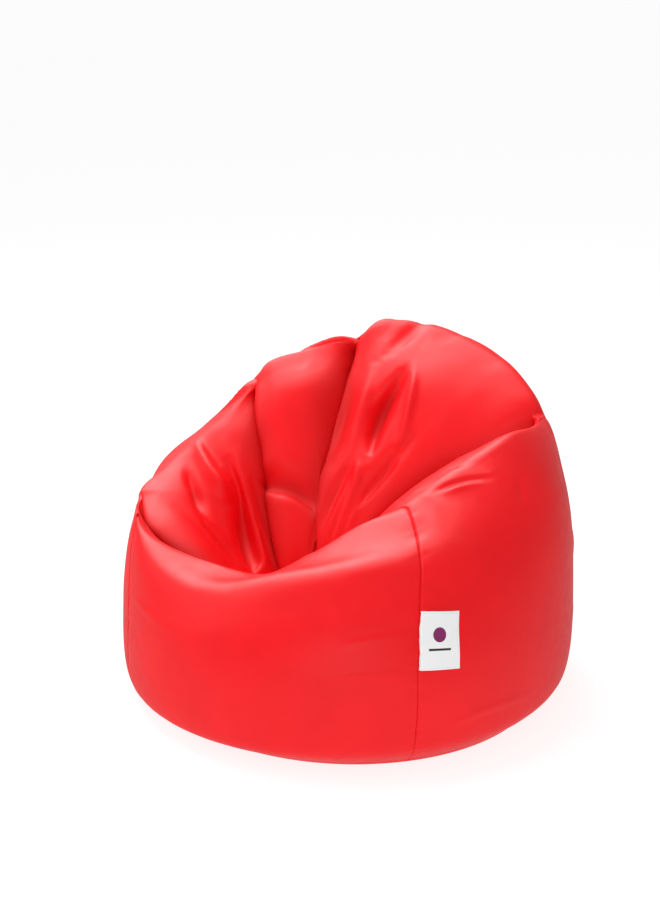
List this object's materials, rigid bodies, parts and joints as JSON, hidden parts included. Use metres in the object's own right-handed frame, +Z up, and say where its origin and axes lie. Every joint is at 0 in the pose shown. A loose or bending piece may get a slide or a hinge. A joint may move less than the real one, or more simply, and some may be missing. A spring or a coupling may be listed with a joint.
{
  "type": "bean bag chair",
  "caption": "Low round bean bag chair in smooth faux leather with a tucked-in seat, a raised back, vertical panel seams and a zip in the flat base.",
  "frame": {"origin": "centre of the footprint, on the floor plane under the base", "axes": "+Z up from the floor; -Y is the front, over the low lip of the seat; +X is to the right of a person facing the chair"},
  "size_m": [0.9049, 0.9117, 0.6775],
  "materials": {
    "leather_red": "satin smooth coated fabric",
    "zip_tape_red": "woven tape",
    "zip_coil_red": "dyed nylon",
    "zip_metal": "plated",
    "label_white": "woven satin",
    "liner_cloth": "plain non-woven cloth",
    "eps_beads": "expanded foam beads"
  },
  "bodies": {
    "bag": {"gore_right": "leather_red", "gore_back": "leather_red", "gore_left": "leather_red", "gore_front": "leather_red", "crown_cap": "leather_red", "base_half_back": "leather_red", "base_half_front": "leather_red", "zip_tape_back": "zip_tape_red", "zip_tape_front": "zip_tape_red", "zip_coil_back": "zip_coil_red", "zip_coil_front": "zip_coil_red", "zip_stop_closed_end": "zip_metal", "zip_stop_open_end": "zip_metal", "label": "label_white", "liner_right": "liner_cloth", "liner_left": "liner_cloth", "liner_crown": "liner_cloth", "liner_base": "liner_cloth", "bead_fill": "eps_beads"},
    "zip_slider": {"zip_slider": "zip_metal"},
    "zip_puller": {"zip_puller": "zip_metal"}
  },
  "joints": [
    {"name": "zip_slide", "type": "slide", "parent": "bag", "child": "zip_slider", "axis": [-1, 0, 0], "range_m": [0, 0.505]},
    {"name": "zip_puller_swing", "type": "hinge", "parent": "zip_slider", "child": "zip_puller", "pos_m": [0.256, 0, 0.0037], "axis": [0, -1, 0], "range_deg": [0, 120]}
  ]
}
